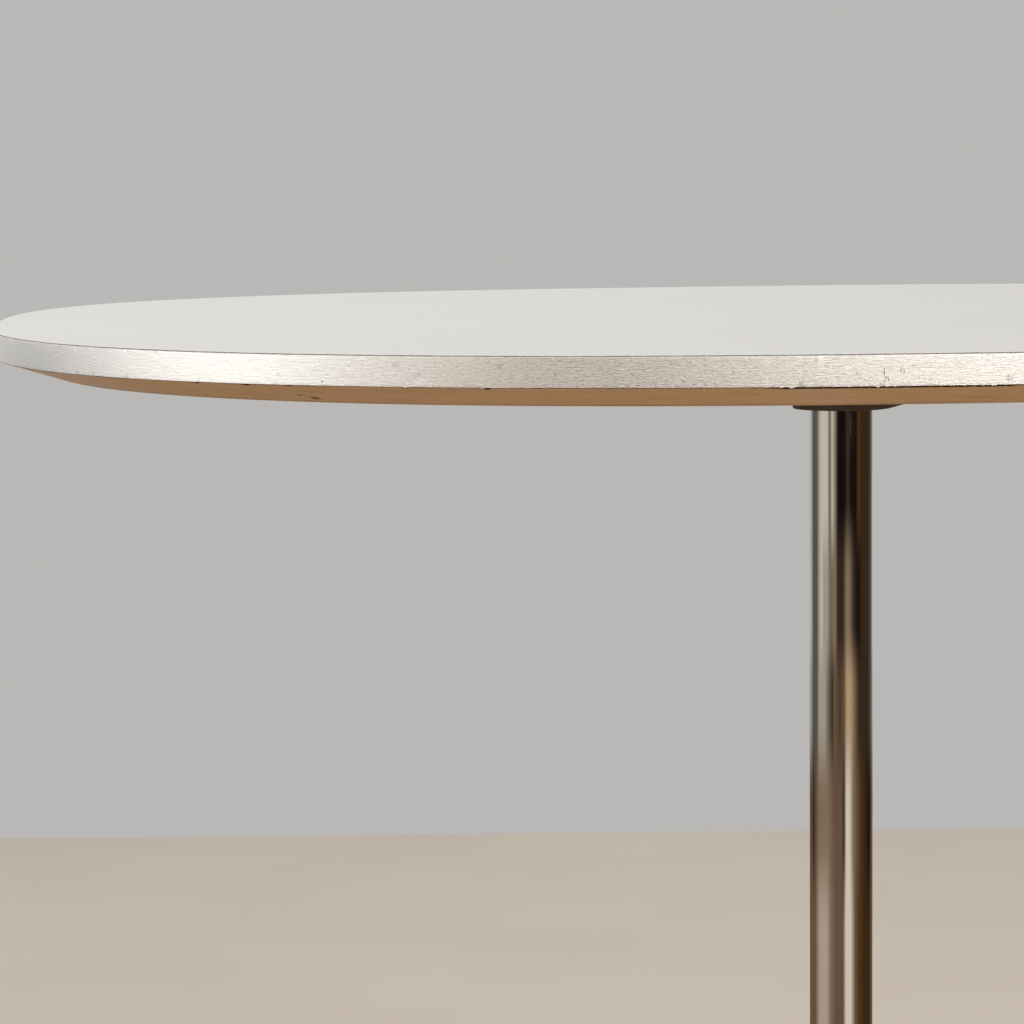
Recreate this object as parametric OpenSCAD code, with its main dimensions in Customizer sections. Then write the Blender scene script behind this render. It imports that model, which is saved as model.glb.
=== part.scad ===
// Pedestal table: a rounded-square laminate top with a metal edge and a bevelled
// underside, a three-arm spider, a steel column held by a tie rod, and a four-arm
// star base on levelling feet.
// Millimetres, +Z up. The origin is on the floor, on the axis of the column.
// The top's four sides face +X, -X, +Y and -Y.

/* [Top] */
// Width of the top from side to side
top_width = 1000; // [800:10:1100]
// Squareness of the outline, from nearly round to nearly square
squareness = 2.6; // [2.2:0.1:5]
// Height of the table top above the floor
table_height = 720; // [700:5:760]
// Thickness of the whole top
top_thickness = 25; // [23:1:30]
// Height of the upright edge, laminate and metal strip together
edge_height = 14.7; // [12:0.1:16]
// How far the bevel below the edge runs inwards
bevel_inset = 32; // [15:1:60]

/* [Spider] */
// Outer diameter of the hub under the top
hub_diameter = 58; // [54:1:70]
// Depth of the hub below the top
hub_depth = 33.5; // [33:0.5:45]
// Reach of each spider arm from the centre of the column
spider_reach = 213; // [180:1:300]
// Width of each spider arm at the hub
spider_arm_width = 32; // [28:1:38]

/* [Column] */
// Outer diameter of the column
column_diameter = 38; // [34:1:40]
// Wall thickness of the column
column_wall = 2; // [1.5:0.5:3]

/* [Base] */
// Distance from the centre of the column to the centre of each foot
foot_radius = 350; // [300:5:400]
// Diameter of the base hub
base_hub_diameter = 100; // [96:1:120]
// Height of the base hub's top above the floor
base_hub_top = 80; // [76:1:100]

/* [Feet] */
// Diameter of each foot's pad
pad_diameter = 36; // [30:1:40]
// Diameter of each levelling stud
stud_diameter = 8; // [8:1:10]

/* [Hidden] */
$fn = 96;
skin = 0.01;
fit_gap = 0.05;

// Top
outline_steps = 180;
laminate_thickness = 0.8;
backing_thickness = 0.8;
strip_thickness = 2;
tongue_height = 2.4;
tongue_depth = 8;
groove_gap = 0.2;
laminate_z = table_height - laminate_thickness;
strip_z = table_height - edge_height;
underside_z = table_height - top_thickness;
core_z = underside_z + backing_thickness;
tongue_z = (laminate_z + strip_z) / 2;

// Spider
spider_angles = [0, 120, 240];
spider_tip_depth = 6;
spider_tip_radius = 13;
spider_tip_centre = spider_reach - spider_tip_radius;
spider_screw_radii = [110, 192];
screw_shank_radius = 2.5;
screw_hole_radius = 2.55;
screw_head_radius = 4.5;
screw_head_height = 3;
screw_length = 20;
spot_face_radius = 6;
socket_depth = 18;
web_thickness = 6;
hub_z = underside_z - hub_depth;
socket_z = hub_z + socket_depth;
pocket_z = socket_z + web_thickness;
pocket_radius = 14;
hub_edge_radius = 2;

// Tie rod
rod_radius = 5;
rod_hole_radius = 5.25;
washer_radius = 10;
washer_thickness = 1.2;
nut_radius = 9.2;
nut_height = 8;
rod_end = 0.6;

// Base
base_angles = [-45, 45, 135, 225];
base_underside = 24;
base_plate_thickness = 12;
base_wall = 12;
base_arm_root_width = 36;
base_arm_tip_width = 27;
base_arm_root_top = 70;
base_arm_tip_top = 48;
base_boss_radius = 17;
spigot_height = 15;
base_plate_z = base_hub_top - base_plate_thickness;
base_bolt_heights = [37, 57];
bolt_radius = 4;
bolt_hole_radius = 4.2;
bolt_head_radius = 6.5;
bolt_head_height = 8;
bolt_grip = 24;
bolt_key_radius = 3.4;
bolt_key_depth = 4;

// Feet
stud_radius = stud_diameter / 2;
stud_gap = 0.08;
stud_top = 41;
stud_hole_top = 45;
flange_z = 11.5;
flange_height = 4;
flange_radius = 8.1;
lock_nut_height = 5;
lock_nut_radius = 7.5;
ball_radius = 4.5;
ball_z = 6.5;
neck_radius = 2.8;
ball_gap = 0.3;
pad_rim_height = 4;
pad_crown_height = 8;
pad_crown_radius = 9;
pad_edge = 1;

rubber_black = [0.06, 0.06, 0.06];
iron_dark = [0.16, 0.13, 0.11];
steel_grey = [0.62, 0.62, 0.60];

// Points of a rounded-square outline, drawn in from the top's edge
function outline_point(half, angle) =
  let(spread = pow(pow(abs(cos(angle)), squareness) + pow(abs(sin(angle)), squareness), -1 / squareness))
  [half * spread * cos(angle), half * spread * sin(angle)];

// The bevel's inset at a given height
function bevel_at(z) = bevel_inset * (strip_z - z) / (strip_z - underside_z);

// Depth of a spider arm below the top at a distance from the column
function spider_depth(distance) =
  let(along = min(1, max(0, (distance - hub_diameter / 2) / (spider_reach - hub_diameter / 2))))
  spider_tip_depth + (hub_depth - spider_tip_depth) * pow(1 - along, 2);

// Height of a base arm's upper face at a distance from the column
function base_arm_top(distance) =
  let(along = (distance - base_hub_diameter / 2) / (foot_radius - base_hub_diameter / 2))
  base_arm_tip_top + (base_arm_root_top - base_arm_tip_top) * pow(1 - min(1, along), 1.6);

module outline(inset = 0) {
  half = top_width / 2 - inset;
  polygon([for (step = [0:outline_steps - 1]) outline_point(half, 360 * step / outline_steps)]);
}

module slab(inset, z, height) {
  translate([0, 0, z])
    linear_extrude(height)
      outline(inset);
}

module bevelled_slab(low, high) {
  hull() {
    slab(bevel_at(high), high - skin, skin);
    slab(bevel_at(low), low, skin);
  }
}

module at_spider_screws() {
  for (angle = spider_angles) {
    for (distance = spider_screw_radii) {
      rotate([0, 0, angle])
        translate([distance, 0, 0])
          children();
    }
  }
}

module top_laminate() {
  color([0.85, 0.85, 0.83])
    slab(0, laminate_z, laminate_thickness);
}

module core_board() {
  color([0.56, 0.42, 0.28])
    difference() {
      union() {
        bevelled_slab(core_z, strip_z);
        slab(strip_thickness, strip_z - skin, laminate_z - strip_z + skin);
      }
      translate([0, 0, tongue_z - tongue_height / 2 - groove_gap])
        linear_extrude(tongue_height + 2 * groove_gap)
          difference() {
            outline(0);
            outline(strip_thickness + tongue_depth + groove_gap);
          }
      at_spider_screws()
        translate([0, 0, core_z - 1])
          cylinder(h = screw_length - spider_tip_depth + 2, r = screw_hole_radius);
    }
}

module edge_strip() {
  color([0.82, 0.81, 0.78])
    union() {
      translate([0, 0, strip_z])
        linear_extrude(laminate_z - strip_z)
          difference() {
            outline(0);
            outline(strip_thickness);
          }
      translate([0, 0, tongue_z - tongue_height / 2])
        linear_extrude(tongue_height)
          difference() {
            outline(strip_thickness - 0.5);
            outline(strip_thickness + tongue_depth);
          }
    }
}

module backing_laminate() {
  color([0.36, 0.25, 0.17])
    difference() {
      bevelled_slab(underside_z, core_z);
      at_spider_screws()
        translate([0, 0, underside_z - 1])
          cylinder(h = backing_thickness + 2, r = screw_hole_radius);
    }
}

module spider_hub() {
  outer = hub_diameter / 2;
  color(iron_dark)
    difference() {
      translate([0, 0, hub_z])
        rotate_extrude()
          polygon([
            [0, 0], [outer - hub_edge_radius, 0], [outer, hub_edge_radius],
            [outer, hub_depth], [0, hub_depth]
          ]);
      translate([0, 0, hub_z - 1])
        cylinder(h = socket_depth + 1, r = column_diameter / 2 + fit_gap);
      translate([0, 0, hub_z])
        cylinder(h = hub_depth, r = rod_hole_radius);
      translate([0, 0, pocket_z])
        cylinder(h = hub_depth, r = pocket_radius);
    }
}

module spider_arm() {
  root = hub_diameter / 2 - 6;
  steps = 14;
  half_root = spider_arm_width / 2;
  color(iron_dark)
    difference() {
      intersection() {
        translate([0, spider_arm_width, underside_z])
          rotate([90, 0, 0])
            linear_extrude(2 * spider_arm_width)
              polygon(concat(
                [[spider_reach + 1, 0], [root, 0], [root, -hub_depth]],
                [for (step = [0:steps])
                  let(distance = hub_diameter / 2 + step * (spider_reach + 1 - hub_diameter / 2) / steps)
                  [distance, -spider_depth(distance)]]
              ));
        translate([0, 0, hub_z - 1])
          linear_extrude(hub_depth + 1) {
            polygon([
              [root, -half_root], [spider_tip_centre, -spider_tip_radius],
              [spider_tip_centre, spider_tip_radius], [root, half_root]
            ]);
            translate([spider_tip_centre, 0])
              circle(r = spider_tip_radius);
          }
      }
      translate([0, 0, hub_z - 2])
        cylinder(h = hub_depth + 4, r = hub_diameter / 2 + fit_gap);
      for (distance = spider_screw_radii) {
        translate([distance, 0, hub_z])
          cylinder(h = hub_depth + 1, r = screw_hole_radius);
        translate([distance, 0, hub_z - 1])
          cylinder(h = hub_depth + 1 - spider_tip_depth, r = spot_face_radius);
      }
    }
}

module spider_arm_right() {
  rotate([0, 0, spider_angles[0]])
    spider_arm();
}

module spider_arm_rear_left() {
  rotate([0, 0, spider_angles[1]])
    spider_arm();
}

module spider_arm_front_left() {
  rotate([0, 0, spider_angles[2]])
    spider_arm();
}

module spider_screws() {
  color(steel_grey)
    at_spider_screws()
      translate([0, 0, underside_z - spider_tip_depth]) {
        cylinder(h = screw_length, r = screw_shank_radius);
        translate([0, 0, -screw_head_height])
          cylinder(h = screw_head_height, r1 = screw_head_radius - 1, r2 = screw_head_radius);
      }
}

module column_tube() {
  color([0.75, 0.75, 0.75])
    translate([0, 0, base_hub_top])
      difference() {
        cylinder(h = socket_z - base_hub_top, r = column_diameter / 2);
        translate([0, 0, -1])
          cylinder(h = table_height, r = column_diameter / 2 - column_wall);
      }
}

module tie_rod() {
  bottom = base_plate_z - washer_thickness - nut_height - 3;
  color(steel_grey)
    translate([0, 0, bottom])
      cylinder(h = underside_z - rod_end - bottom, r = rod_radius);
}

module hex_nut(height, radius, bore) {
  difference() {
    cylinder(h = height, r = radius, $fn = 6);
    translate([0, 0, -1])
      cylinder(h = height + 2, r = bore);
  }
}

module tie_rod_nuts() {
  color(steel_grey) {
    translate([0, 0, pocket_z + washer_thickness])
      hex_nut(nut_height, nut_radius, rod_radius + fit_gap);
    translate([0, 0, base_plate_z - washer_thickness - nut_height])
      hex_nut(nut_height, nut_radius, rod_radius + fit_gap);
  }
}

module tie_rod_washers() {
  color(steel_grey)
    for (z = [pocket_z, base_plate_z - washer_thickness]) {
      translate([0, 0, z])
        difference() {
          cylinder(h = washer_thickness, r = washer_radius);
          translate([0, 0, -1])
            cylinder(h = washer_thickness + 2, r = rod_hole_radius);
        }
    }
}

module at_base_bolts() {
  for (angle = base_angles) {
    for (z = base_bolt_heights) {
      rotate([0, 0, angle])
        translate([base_hub_diameter / 2 - base_wall, 0, z])
          rotate([0, 90, 0])
            children();
    }
  }
}

module base_hub() {
  outer = base_hub_diameter / 2;
  edge = 3;
  color(iron_dark)
    difference() {
      union() {
        rotate_extrude()
          polygon([
            [0, base_underside], [outer - edge, base_underside], [outer, base_underside + edge],
            [outer, base_hub_top - 2 * edge], [outer - 2 * edge, base_hub_top], [0, base_hub_top]
          ]);
        translate([0, 0, base_hub_top - 1])
          cylinder(h = spigot_height + 1, r = column_diameter / 2 - column_wall - fit_gap);
      }
      translate([0, 0, base_underside - 1])
        cylinder(h = base_plate_z - base_underside + 1, r = outer - base_wall);
      translate([0, 0, base_underside])
        cylinder(h = table_height, r = rod_hole_radius);
      at_base_bolts()
        translate([0, 0, -2])
          cylinder(h = base_wall + 4, r = bolt_hole_radius);
    }
}

module base_arm() {
  root = base_hub_diameter / 2 - 8;
  tip = foot_radius + base_boss_radius;
  steps = 14;
  half_root = base_arm_root_width / 2;
  half_tip = base_arm_tip_width / 2;
  color(iron_dark)
    difference() {
      intersection() {
        translate([0, base_arm_root_width, 0])
          rotate([90, 0, 0])
            linear_extrude(2 * base_arm_root_width)
              polygon(concat(
                [[tip + 1, base_underside], [root, base_underside], [root, base_arm_root_top]],
                [for (step = [0:steps])
                  let(distance = base_hub_diameter / 2 + step * (tip + 1 - base_hub_diameter / 2) / steps)
                  [distance, base_arm_top(distance)]]
              ));
        translate([0, 0, base_underside - 1])
          linear_extrude(base_arm_root_top) {
            polygon([
              [root, -half_root], [foot_radius, -half_tip],
              [foot_radius, half_tip], [root, half_root]
            ]);
            translate([foot_radius, 0])
              circle(r = base_boss_radius);
          }
      }
      translate([0, 0, base_underside - 2])
        cylinder(h = base_hub_top, r = base_hub_diameter / 2 + fit_gap);
      translate([foot_radius, 0, base_underside - 1])
        cylinder(h = stud_hole_top - base_underside + 1, r = stud_radius + stud_gap);
      for (z = base_bolt_heights) {
        translate([0, 0, z])
          rotate([0, 90, 0])
            cylinder(h = base_hub_diameter / 2 + bolt_grip, r = bolt_radius + fit_gap);
      }
    }
}

module base_arm_front_right() {
  rotate([0, 0, base_angles[0]])
    base_arm();
}

module base_arm_rear_right() {
  rotate([0, 0, base_angles[1]])
    base_arm();
}

module base_arm_rear_left() {
  rotate([0, 0, base_angles[2]])
    base_arm();
}

module base_arm_front_left() {
  rotate([0, 0, base_angles[3]])
    base_arm();
}

module base_arm_bolts() {
  flat_gap = 0.6;
  color(steel_grey)
    at_base_bolts()
      difference() {
        union() {
          translate([0, 0, -flat_gap - bolt_head_height])
            cylinder(h = bolt_head_height, r = bolt_head_radius);
          translate([0, 0, -flat_gap - skin])
            cylinder(h = base_wall + bolt_grip - 2, r = bolt_radius);
        }
        translate([0, 0, -flat_gap - bolt_head_height - 1])
          cylinder(h = bolt_key_depth + 1, r = bolt_key_radius, $fn = 6);
      }
}

module at_foot(angle) {
  rotate([0, 0, angle])
    translate([foot_radius, 0, 0])
      children();
}

module foot_lock_nuts() {
  color(steel_grey)
    for (angle = base_angles) {
      at_foot(angle)
        translate([0, 0, base_underside - lock_nut_height])
          hex_nut(lock_nut_height, lock_nut_radius, stud_radius + stud_gap);
    }
}

module foot_stud() {
  color(steel_grey)
    union() {
      translate([0, 0, ball_z])
        sphere(r = ball_radius);
      translate([0, 0, ball_z])
        cylinder(h = flange_z - ball_z + 1, r = neck_radius);
      translate([0, 0, flange_z])
        cylinder(h = flange_height, r = flange_radius, $fn = 6);
      translate([0, 0, flange_z + 1])
        cylinder(h = stud_top - flange_z - 1, r = stud_radius);
    }
}

module foot_stud_front_right() {
  at_foot(base_angles[0])
    foot_stud();
}

module foot_stud_rear_right() {
  at_foot(base_angles[1])
    foot_stud();
}

module foot_stud_rear_left() {
  at_foot(base_angles[2])
    foot_stud();
}

module foot_stud_front_left() {
  at_foot(base_angles[3])
    foot_stud();
}

module foot_pad() {
  outer = pad_diameter / 2;
  color(rubber_black)
    difference() {
      rotate_extrude()
        polygon([
          [0, 0], [outer - pad_edge, 0], [outer, pad_edge], [outer, pad_rim_height - pad_edge],
          [outer - pad_edge, pad_rim_height], [pad_crown_radius, pad_crown_height], [0, pad_crown_height]
        ]);
      translate([0, 0, ball_z])
        sphere(r = ball_radius + ball_gap);
      translate([0, 0, ball_z])
        cylinder(h = pad_crown_height, r = neck_radius + ball_gap);
    }
}

module foot_pad_front_right() {
  at_foot(base_angles[0])
    foot_pad();
}

module foot_pad_rear_right() {
  at_foot(base_angles[1])
    foot_pad();
}

module foot_pad_rear_left() {
  at_foot(base_angles[2])
    foot_pad();
}

module foot_pad_front_left() {
  at_foot(base_angles[3])
    foot_pad();
}

top_laminate();
core_board();
edge_strip();
backing_laminate();
spider_hub();
spider_arm_right();
spider_arm_rear_left();
spider_arm_front_left();
spider_screws();
column_tube();
tie_rod();
tie_rod_nuts();
tie_rod_washers();
base_hub();
base_arm_front_right();
base_arm_rear_right();
base_arm_rear_left();
base_arm_front_left();
base_arm_bolts();
foot_lock_nuts();
foot_stud_front_right();
foot_stud_rear_right();
foot_stud_rear_left();
foot_stud_front_left();
foot_pad_front_right();
foot_pad_rear_right();
foot_pad_rear_left();
foot_pad_front_left();
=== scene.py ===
import math
from math import cos, inf, pi, radians, sin, sqrt

import bmesh
import bpy
from mathutils import Matrix, Vector, noise


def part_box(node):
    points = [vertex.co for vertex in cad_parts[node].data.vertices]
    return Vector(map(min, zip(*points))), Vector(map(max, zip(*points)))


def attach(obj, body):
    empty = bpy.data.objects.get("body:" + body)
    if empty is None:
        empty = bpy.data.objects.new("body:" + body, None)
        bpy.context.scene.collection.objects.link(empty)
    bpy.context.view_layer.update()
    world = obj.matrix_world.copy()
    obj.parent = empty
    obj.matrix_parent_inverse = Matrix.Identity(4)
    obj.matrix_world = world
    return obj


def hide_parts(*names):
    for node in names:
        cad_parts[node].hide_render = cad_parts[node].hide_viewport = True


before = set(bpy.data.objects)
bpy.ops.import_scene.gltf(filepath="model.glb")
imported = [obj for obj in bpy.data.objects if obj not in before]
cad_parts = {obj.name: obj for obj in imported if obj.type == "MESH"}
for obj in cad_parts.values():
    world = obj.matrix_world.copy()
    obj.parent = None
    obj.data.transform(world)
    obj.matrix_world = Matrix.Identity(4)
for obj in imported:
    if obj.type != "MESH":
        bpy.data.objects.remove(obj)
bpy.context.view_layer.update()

MM = 0.001
TAU = 2 * pi
scene = bpy.context.scene

# ---- sizes read from the CAD
SHEET_LO, SHEET_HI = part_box("top_laminate")
STRIP_LO, STRIP_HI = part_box("edge_strip")
BACK_LO, BACK_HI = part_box("backing_laminate")
HUB_LO, HUB_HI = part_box("spider_hub")
ARM_LO, ARM_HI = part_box("spider_arm_right")
TUBE_LO, TUBE_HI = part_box("column_tube")
BASE_LO, BASE_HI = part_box("base_hub")
ROD_LO, ROD_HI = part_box("tie_rod")
FEET = ("front_right", "rear_right", "rear_left", "front_left")
FOOT_ANGLES = {name: radians(-45 + 90 * i) for i, name in enumerate(FEET)}
PAD_LO, PAD_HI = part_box("foot_pad_front_right")
FOOT_R = math.hypot((PAD_LO.x + PAD_HI.x) / 2, (PAD_LO.y + PAD_HI.y) / 2)

HALF = SHEET_HI.x
TOP_Z = SHEET_HI.z
SHEET_Z = SHEET_LO.z
STRIP_Z = STRIP_LO.z
CORE_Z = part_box("core_board")[0].z
UNDER_Z = BACK_LO.z
SQUARENESS = 2.6
BEVEL_SLOPE = (HALF - BACK_HI.x) / (STRIP_Z - BACK_HI.z)
BEVEL_INSET = BEVEL_SLOPE * (STRIP_Z - UNDER_Z)
AROUND = 2160
SLIT = 0.02 * MM
ROD_BORE = 5.25 * MM
STUD_BORE = 4.08 * MM


# ---- mesh helpers
def outline_point(half, angle):
    c, s = abs(cos(angle)), abs(sin(angle))
    r = half * (c ** SQUARENESS + s ** SQUARENESS) ** (-1 / SQUARENESS)
    return r * cos(angle), r * sin(angle)


def smooth(obj, angle=35):
    """Smooth faces, with edges sharper than the angle kept sharp."""
    bm = bmesh.new()
    bm.from_mesh(obj.data)
    limit = radians(angle)
    for face in bm.faces:
        face.smooth = True
    for edge in bm.edges:
        if len(edge.link_faces) == 2:
            edge.smooth = edge.calc_face_angle(0) < limit
    bm.to_mesh(obj.data)
    bm.free()
    return obj


def linked(name, data):
    obj = bpy.data.objects.new(name, data)
    scene.collection.objects.link(obj)
    return obj


def new_object(name, verts, faces, materials, face_slots=None):
    mesh = bpy.data.meshes.new(name)
    mesh.from_pydata(verts, [], faces)
    for material in materials:
        mesh.materials.append(material)
    if face_slots:
        mesh.polygons.foreach_set("material_index", face_slots)
    mesh.validate()
    bm = bmesh.new()
    bm.from_mesh(mesh)
    bmesh.ops.recalc_face_normals(bm, faces=bm.faces)
    bm.to_mesh(mesh)
    bm.free()
    return linked(name, mesh)


def grid_faces(rows, around, closed_rows=False):
    faces = []
    last = rows if closed_rows else rows - 1
    for j in range(last):
        a, b = j * around, ((j + 1) % rows) * around
        for i in range(around):
            k = (i + 1) % around
            faces.append((a + i, a + k, b + k, b + i))
    return faces


def top_ring_piece(name, rings, materials, closed=False, slot_of=lambda j: 0, carve=None, around=AROUND):
    """Sweeps (inset, z) rings round the top's outline. The end rings are capped, or joined if closed."""
    verts, slots = [], []
    for j, (inset, z) in enumerate(rings):
        for i in range(around):
            angle = TAU * i / around
            d_in, d_z = carve(j, angle) if carve else (0.0, 0.0)
            x, y = outline_point(HALF - inset - d_in, angle)
            verts.append((x, y, z + d_z))
    faces = grid_faces(len(rings), around, closed)
    for j in range(len(rings) if closed else len(rings) - 1):
        slots += [slot_of(j)] * around
    for ring in () if closed else (0, len(rings) - 1):
        base = ring * around
        faces += [(len(verts), base + i, base + (i + 1) % around) for i in range(around)]
        slots += [slot_of(ring)] * around
        verts.append((0, 0, rings[ring][1]))
    return smooth(new_object(name, verts, faces, materials, slots))


def on_circle(at, r, t, z):
    return at[0] + r * cos(t), at[1] + r * sin(t), z


def lathe(name, profile, materials, steps=96, at=(0, 0, 0), angle=35, closed=False):
    """Turns a profile of (radius, z) about +Z. Radius 0 at an end closes it with a fan."""
    verts, faces, rings = [], [], []
    for r, z in profile:
        at_pole = r < 1e-7
        rings.append([len(verts) + (0 if at_pole else i) for i in range(steps)])
        verts += [on_circle(at, r, TAU * i / steps, at[2] + z) for i in range(1 if at_pole else steps)]
    pairs = list(zip(rings, rings[1:])) + ([(rings[-1], rings[0])] if closed else [])
    for low, high in pairs:
        for i in range(steps):
            k = (i + 1) % steps
            face = tuple(dict.fromkeys((low[i], low[k], high[k], high[i])))
            if len(face) > 2:
                faces.append(face)
    return smooth(new_object(name, verts, faces, materials), angle)


def rounded(points, radius, steps=5):
    """A polyline of (a, b) points with every inner corner turned into an arc of the radius."""
    out = [points[0]]
    for before, here, after in zip(points, points[1:], points[2:]):
        p, q, r = Vector(before), Vector(here), Vector(after)
        into, away = (q - p), (r - q)
        reach = min(radius, into.length * 0.49, away.length * 0.49)
        start, end = q - into.normalized() * reach, q + away.normalized() * reach
        for k in range(steps + 1):
            t = k / steps
            out.append(tuple(start.lerp(q, t).lerp(q.lerp(end, t), t)))
    out.append(points[-1])
    return out


def loft(name, sections, materials, angle=35, ends=None):
    """Joins closed sections of equal counts. Both ends close at the points in ends, or at their middles."""
    count = len(sections[0])
    verts = [point for section in sections for point in section]
    faces = grid_faces(len(sections), count)
    for k, ring in enumerate((0, len(sections) - 1)):
        base = ring * count
        middle = sum((Vector(point) for point in sections[ring]), Vector()) / count
        faces += [(len(verts), base + i, base + (i + 1) % count) for i in range(count)]
        verts.append(ends[k] if ends else tuple(middle))
    return smooth(new_object(name, verts, faces, materials), angle)


def threaded(name, radius, z_low, z_high, pitch, depth, at=(0, 0), steps=36, per_turn=8):
    """A steel rod with a real helical thread and a plain chamfer at its top end."""
    rows = max(4, int((z_high - z_low) / pitch * per_turn))
    rings = []
    for j in range(rows + 1):
        z = z_low + (z_high - z_low) * j / rows
        chamfer = max(0.0, z - (z_high - depth)) * 0.9
        ring = []
        for i in range(steps):
            ridge = abs((z / pitch - i / steps) % 1.0 * 2 - 1)
            groove = depth * min(1.0, max(0.0, (1 - ridge) * 1.5 - 0.15))
            r = min(radius - groove, radius - chamfer) if j < rows else radius - depth
            ring.append(on_circle(at, r, TAU * i / steps, z))
        rings.append(ring)
    return loft(name, rings, [STEEL], 50, [(*at, z_low), (*at, z_high)])


def joined(name, objects):
    """One object from several, with its origin at the world's."""
    bm = bmesh.new()
    materials = []
    for obj in objects:
        part = obj.data.copy()
        part.transform(obj.matrix_world)
        remap = []
        for material in part.materials:
            if material not in materials:
                materials.append(material)
            remap.append(materials.index(material))
        for polygon in part.polygons:
            polygon.material_index = remap[polygon.material_index]
        bm.from_mesh(part)
        bpy.data.objects.remove(obj)
    mesh = bpy.data.meshes.new(name)
    bm.to_mesh(mesh)
    bm.free()
    for material in materials:
        mesh.materials.append(material)
    return linked(name, mesh)


def turned(obj, angle):
    obj.data.transform(Matrix.Rotation(angle, 4, "Z"))
    return obj


def cut(obj, cutters):
    """Takes the cutters out of the object."""
    for cutter in cutters:
        modifier = obj.modifiers.new("cut", "BOOLEAN")
        modifier.operation = "DIFFERENCE"
        modifier.solver = "EXACT"
        modifier.object = cutter
    bpy.context.view_layer.update()
    evaluated = obj.evaluated_get(bpy.context.evaluated_depsgraph_get())
    mesh = bpy.data.meshes.new_from_object(evaluated)
    obj.modifiers.clear()
    old = obj.data
    obj.data = mesh
    bpy.data.meshes.remove(old)
    for cutter in cutters:
        bpy.data.objects.remove(cutter)
    return smooth(obj)


def place(obj, slot, *nodes, body="table"):
    weighted = obj.modifiers.new("flat_faces_stay_flat", "WEIGHTED_NORMAL")
    weighted.keep_sharp = True
    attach(obj, body)
    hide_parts(*nodes)
    return obj


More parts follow.
